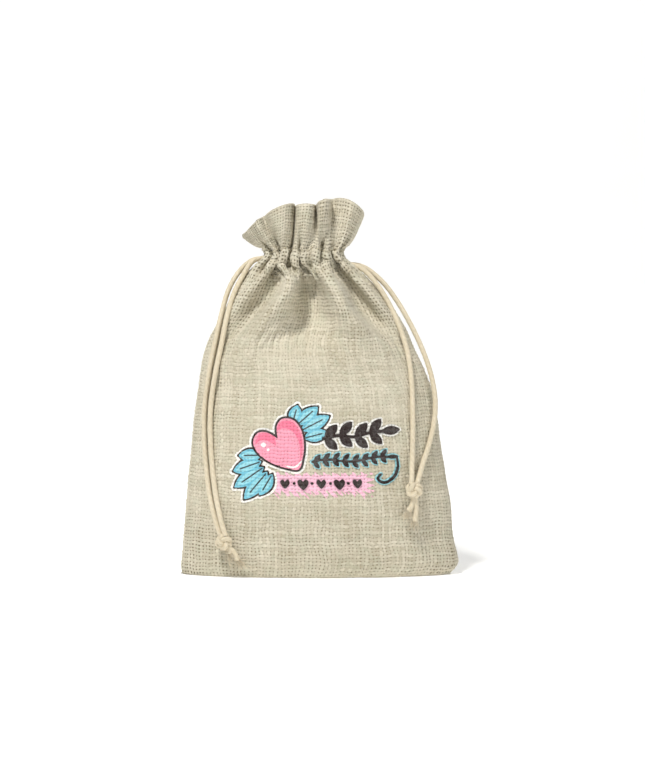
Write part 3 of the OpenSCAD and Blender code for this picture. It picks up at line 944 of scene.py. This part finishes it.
def add_inner_seam(name, line, inward, width):
    """A seam allowance inside the sack: two layers of cloth bound by a zigzag of thread."""
    line = even(line, 0.8)
    steps = 7
    run = np.arange(len(line))
    wave = 0.25 * np.sin(run * 0.45)
    reach = np.outer(np.ones(len(line)), inward)
    sheet = np.array([line + reach * width * k / (steps - 1) for k in range(steps)])
    sheet[:, :, 1] += wave * np.linspace(0, 1, steps)[:, None]
    thick = np.array([0, 0.55, 0])
    uu, vv = np.meshgrid(run * 0.64, np.arange(steps) * 0.6)
    values = np.stack([uu, vv, np.full_like(uu, 0.5)], axis=-1)
    piece = closed_sheet("burlap_" + name, sheet - thick, sheet + thick, values)
    zigzag = []
    for k, point in enumerate(sheet[-1][:-1]):
        sideways, back = (0.75, 1.6) if k % 2 else (-0.75, 0)
        zigzag.append(point + np.array([0, sideways, 0]) - np.array(inward) * back)
    binding = tube(even(smooth_route(zigzag, 3), 0.4), 0.17, 6)
    bound = tubes_piece("thread_" + name, [binding], THREAD_MATERIAL)
    stands_for(piece, "burlap", name, body="sack")
    stands_for(bound, "thread", name, body="sack")


def add_inner_seams():
    """The allowances of the two side seams and of the bottom seam."""
    for name, u, inward in (("left_side_seam", 0.0, (1, 0, 0)), ("right_side_seam", float(SIDE), (-1, 0, 0))):
        v = np.linspace(BASE_ROW + 5, NECK_ROW - 12, 60)
        line = cloth_at(np.full_like(v, u), v) + np.array(inward) * 1.4
        line[:, 1] = 0
        add_inner_seam(name, line, inward, 4.6)
    low, high = box_of("bottom_seam")
    line = [[x, 0, low[2] + 0.1] for x in np.linspace(low[0], high[0], 12)]
    add_inner_seam("bottom_seam", line, (0, 0, 1), high[2] - low[2] - 0.2)


add_inner_seams()


# ---------------------------------------------------------------- the print
def circle(x, y, cx, cy, r):
    """Signed distance to a circle, negative inside."""
    return np.hypot(x - cx, y - cy) - r


def from_segment(x, y, a, b):
    """How far along the segment from a to b the nearest spot is, 0 to 1, and the distance to it."""
    d = b - a
    t = np.clip(((x - a[0]) * d[0] + (y - a[1]) * d[1]) / max(d @ d, 1e-9), 0, 1)
    return t, np.hypot(x - a[0] - t * d[0], y - a[1] - t * d[1])


def stroke(x, y, points, width, taper=0.0):
    """Distance to a smooth stroke through points; taper narrows both ends."""
    line = smooth_route([[a, b, 0] for a, b in points], 8)[:, :2]
    best = np.full(x.shape, 1e9)
    last = len(line) - 1
    for k in range(last):
        t, away = from_segment(x, y, line[k], line[k + 1])
        along = (k + t) / last
        half = width / 2 * (1 - taper * np.abs(2 * along - 1) ** 2.2)
        best = np.minimum(best, away - half)
    return best


def closed_shape(x, y, points):
    """Signed distance to a smooth closed outline through points."""
    line = smooth_route([[a, b, 0] for a, b in points + points[:1]], 8)[:, :2]
    best = np.full(x.shape, 1e9)
    inside = np.zeros(x.shape, bool)
    for a, b in zip(line[:-1], line[1:]):
        best = np.minimum(best, from_segment(x, y, a, b)[1])
        d = b - a
        crosses = (a[1] > y) != (b[1] > y)
        rise = d[1] if abs(d[1]) > 1e-9 else 1e-9
        inside ^= crosses & (x < a[0] + d[0] * (y - a[1]) / rise)
    return np.where(inside, -best, best)


HALF_HEART = [(0, 0.4), (0.2, 0.78), (0.52, 0.92), (0.83, 0.68), (0.87, 0.24), (0.67, -0.26), (0.33, -0.7)]


def heart(x, y, cx, cy, size, tilt=0.0):
    """A plain heart whose tip points down before it is tilted."""
    c, s = math.cos(tilt), math.sin(tilt)
    half = HALF_HEART + [(0, -0.96)] + [(-a, b) for a, b in reversed(HALF_HEART[1:])]
    return closed_shape(x, y, [(cx + size * (a * c - b * s), cy + size * (a * s + b * c)) for a, b in half])


def leaf(x, y, foot, tip, width):
    """A pointed leaf from foot to tip."""
    foot, tip = np.array(foot, float), np.array(tip, float)
    d = tip - foot
    length = math.hypot(*d)
    t = ((x - foot[0]) * d[0] + (y - foot[1]) * d[1]) / length ** 2
    off = np.abs((x - foot[0]) * d[1] - (y - foot[1]) * d[0]) / length
    half = width / 2 * np.sin(math.pi * np.clip(t, 0, 1)) ** 0.75
    past = np.maximum(np.maximum(-t, t - 1), 0) * length
    return np.where((t > 0) & (t < 1), off - half, np.hypot(off, past))


def brushed(x, y, left, right, low, high):
    """A swash of dry brush strokes."""
    slant = x + 0.55 * y
    ragged = 0.9 * np.sin(slant * 2.1) + 0.6 * np.sin(slant * 4.7 + 1) + 0.4 * np.sin(slant * 9.1)
    box = np.maximum(np.maximum(left - x + 0.8 * np.sin(y * 2.3), x - right + 1.4 * np.sin(y * 3.1)),
                     np.maximum(low - y + ragged, y - high - 0.6 * ragged))
    streak = 0.34 - np.abs(np.sin(slant * 1.35 + 0.4 * np.sin(y)))
    return np.maximum(box, np.where(y < low + 1.6, streak, -1))


LEAVES = [
    ((-19.4, 44.6), (-27.4, 44.2), 4.6), ((-19.6, 42.4), (-29, 38.6), 5.0),
    ((-18.8, 40.4), (-28.4, 33), 5.0), ((-17.6, 38.8), (-25.2, 28.8), 4.8), ((-16, 38), (-20.2, 30.4), 4.2),
    ((-9.4, 55.6), (-7.8, 62.2), 4.4), ((-8, 55.2), (-1, 61.6), 4.8), ((-6.8, 53.2), (2.8, 58.4), 4.8),
    ((-5.8, 50.6), (2, 52.8), 4.6)]
HEARTS = [(-12, 34.6, 1.7), (-6.3, 34.4, 2.0), (-0.6, 34.6, 1.7), (5.1, 34.4, 2.0), (10.8, 34.6, 1.7)]
DOTS = [(-9.1, 34.8, 0.5), (-3.5, 34.8, 0.5), (2.3, 34.8, 0.5), (7.9, 34.8, 0.5)]


def sprig(x, y, start, end, pairs, reach, width, stem):
    """A wavy stem with leaves on both sides."""
    start, end = np.array(start, float), np.array(end, float)
    along = (end - start) / np.linalg.norm(end - start)
    across = np.array([-along[1], along[0]])
    spots = np.linspace(0, 1, pairs + 1)
    path = [start + (end - start) * t + across * 0.55 * math.sin(t * 9) for t in spots]
    parts = [stroke(x, y, [tuple(p) for p in path], stem)]
    for foot in path[:-1]:
        for side in (-1, 1):
            tip = foot + along * reach * (0.75 + 0.1 * side) + across * side * reach * 0.72
            parts.append(leaf(x, y, foot + along * 0.4, tip, width))
    parts.append(leaf(x, y, path[-1] - along * 0.6, path[-1] + along * reach, width))
    return np.min(parts, axis=0)


def print_layers(x, y):
    """Name, colour and signed distance of each printed area, from the bottom layer up."""
    tilt = math.radians(32)
    cx, cy = -12.4, 47.4
    dark = rgb(40, 26, 24)
    body = heart(x, y, cx, cy, 9.5, tilt)
    leaves = np.min([leaf(x, y, *spec) for spec in LEAVES], axis=0)
    veins = np.min([stroke(x, y, [foot, ((foot[0] + tip[0] * 3) / 4, (foot[1] + tip[1] * 3) / 4)], 0.45)
                    for foot, tip, _ in LEAVES], axis=0)
    large = sprig(x, y, (0.6, 50.6), (20.4, 52.6), 4, 6.0, 3.1, 1.1)
    small = sprig(x, y, (-3.2, 42.4), (21.6, 43.6), 8, 3.3, 1.5, 0.8)
    hook = [(24.4, 43.6), (24.4, 40.2), (22.8, 36.8), (19.6, 34.8), (17.4, 36.2), (18.6, 37.8)]
    small = np.minimum(small, stroke(x, y, hook, 1.0, 0.3))
    row = np.min([heart(x, y, *spot) for spot in HEARTS] + [circle(x, y, *spot) for spot in DOTS], axis=0)
    swash = brushed(x, y, -16.5, 15, 30.6, 38.0)
    shade = np.maximum(heart(x, y, cx, cy, 8.7, tilt), -heart(x, y, cx - 0.6, cy - 2.4, 8.4, tilt))
    shine = np.minimum(circle(x, y, cx - 6.6, cy + 0.8, 0.85), circle(x, y, cx - 5.0, cy - 0.9, 0.5))
    gleam = stroke(x, y, [(cx + 0.6, cy - 6.4), (cx + 3.6, cy - 6.9), (cx + 5.9, cy - 4.6)], 0.65, 0.6)
    return [
        ("swash", rgb(244, 190, 210), swash),
        ("halo_blue", rgb(158, 214, 222), small - 0.45),
        ("halo", rgb(248, 246, 240), np.minimum(np.minimum(body, leaves) - 1.3, large - 0.65)),
        ("outline", dark, leaves - 0.55),
        ("leaves", rgb(150, 214, 226), leaves + 0.1),
        ("leaf_shade", rgb(112, 190, 212), np.maximum(leaves + 0.2, -(leaves + 0.9))),
        ("veins", rgb(52, 62, 66), np.maximum(veins, leaves + 0.5)),
        ("heart_rim", dark, body - 0.6),
        ("heart", rgb(243, 158, 180), body + 0.1),
        ("heart_deep", rgb(238, 120, 150), shade),
        ("shine", rgb(252, 246, 246), np.minimum(shine, gleam)),
        ("sprigs", dark, np.min([large, small, row], axis=0)),
    ]


def clipped_cells(inside):
    """Polygons of the part of each grid cell where inside (a signed distance) is below zero.
    Returns points as fractional (column, row), and faces."""
    points, faces, found = [], [], {}

    def corner(i, j):
        key = (i, j)
        if key not in found:
            found[key] = len(points)
            points.append((float(i), float(j)))
        return found[key]

    def crossing(a, b):
        key = (a, b) if a < b else (b, a)
        if key not in found:
            (i0, j0), (i1, j1) = key
            d0, d1 = inside[j0, i0], inside[j1, i1]
            t = d0 / (d0 - d1)
            found[key] = len(points)
            points.append((i0 + (i1 - i0) * t, j0 + (j1 - j0) * t))
        return found[key]

    full = inside < 0
    touched = full[:-1, :-1] | full[1:, :-1] | full[:-1, 1:] | full[1:, 1:]
    for j, i in zip(*np.nonzero(touched)):
        ring = [(i, j), (i + 1, j), (i + 1, j + 1), (i, j + 1)]
        face = []
        for k in range(4):
            a, b = ring[k], ring[(k + 1) % 4]
            if full[a[1], a[0]]:
                face.append(corner(*a))
            if full[a[1], a[0]] != full[b[1], b[0]]:
                face.append(crossing(a, b))
        if len(face) >= 3:
            faces.append(face)
    return np.array(points), faces


def add_print():
    """Ink on the threads: each colour is a thin film that follows the weave."""
    per_thread = 4  # the print's grid is finer than the cloth's
    middle_u = SIDE / 2 + 0.6
    u0, u1 = 12.0, 70.0
    v0, v1 = BASE_ROW + 18.0, BASE_ROW + 52.0
    u = np.arange(u0, u1, 1 / per_thread)
    v = np.arange(v0, v1, 1 / per_thread)
    uu, vv = np.meshgrid(u, v)
    across, up = wander(uu, vv)
    x = (uu + across - middle_u) * THREAD * 0.93 - 1.2
    y = (vv + up - BASE_ROW) * THREAD * 0.985 + 0.5
    for level, (name, colour, inside) in enumerate(print_layers(x, y)):
        cells, faces = clipped_cells(inside)
        fu, fv = u0 + cells[:, 0] / per_thread, v0 + cells[:, 1] / per_thread
        points = surface(fu, fv, 0.05 + 0.035 * level)
        values = np.stack([fu, fv, openness(fu, fv) * 0.5], axis=-1)
        ink = weave_material("ink_" + name, colour, 0.75)
        film = mesh_piece("print_" + name, points, faces, ink, "weave", values)
        stands_for(film, "print_ink", "print_film", body="sack")


add_print()


# ---------------------------------------------------------------- stage and light
def add_stage():
    """A near-white floor that curves up into a backdrop."""
    profile = [(-3.0, 0.0), (0.5, 0.0)]
    bend = 0.6
    curve = np.linspace(0, math.pi / 2, 13)[1:]
    profile += [(0.5 + bend * math.sin(a), bend * (1 - math.cos(a))) for a in curve]
    profile.append((0.5 + bend, 3.0))
    points = [[x / MM, y / MM, z / MM - 0.02] for y, z in profile for x in (-3.0, 3.0)]
    faces = [[2 * k, 2 * k + 1, 2 * k + 3, 2 * k + 2] for k in range(len(profile) - 1)]
    g = Graph("paper")
    coordinates = g.node("ShaderNodeTexCoord")
    grain = g.noise(coordinates.outputs["Object"], 40.0)
    g.bsdf.inputs["Emission Color"].default_value = (1, 1, 1, 1)
    g.bsdf.inputs["Emission Strength"].default_value = 0.34
    g.finish(g.mix(grain, rgb(246, 246, 244), rgb(252, 252, 251)), grain, 0.02, 0.0005, 0.85)
    mesh_piece("backdrop", points, faces, g.material)


def add_area(name, place, target, size, power, colour=(1, 1, 1)):
    light = bpy.data.lights.new(name, "AREA")
    light.shape = "DISK"
    light.size = size
    light.energy = power
    light.color = colour
    lamp = bpy.data.objects.new(name, light)
    bpy.context.scene.collection.objects.link(lamp)
    lamp.location = place
    lamp.rotation_euler = (Vector(target) - Vector(place)).to_track_quat("-Z", "Y").to_euler()


def add_light():
    """One small strong lamp high at the front left, a large weak one at the right, and a dim white world."""
    world = bpy.data.worlds.new("studio")
    bpy.context.scene.world = world
    world.use_nodes = True
    world.node_tree.nodes["Background"].inputs[0].default_value = (1, 1, 1, 1)
    world.node_tree.nodes["Background"].inputs[1].default_value = 0.17
    middle = (0, 0, 0.07)
    add_area("key", (-0.3, -0.58, 1.04), middle, 0.2, 12.6, (1, 0.988, 0.965))
    add_area("fill", (0.9, -0.8, 0.35), middle, 0.6, 2.1)
    bpy.context.scene.view_settings.view_transform = "Standard"


add_stage()
add_light()
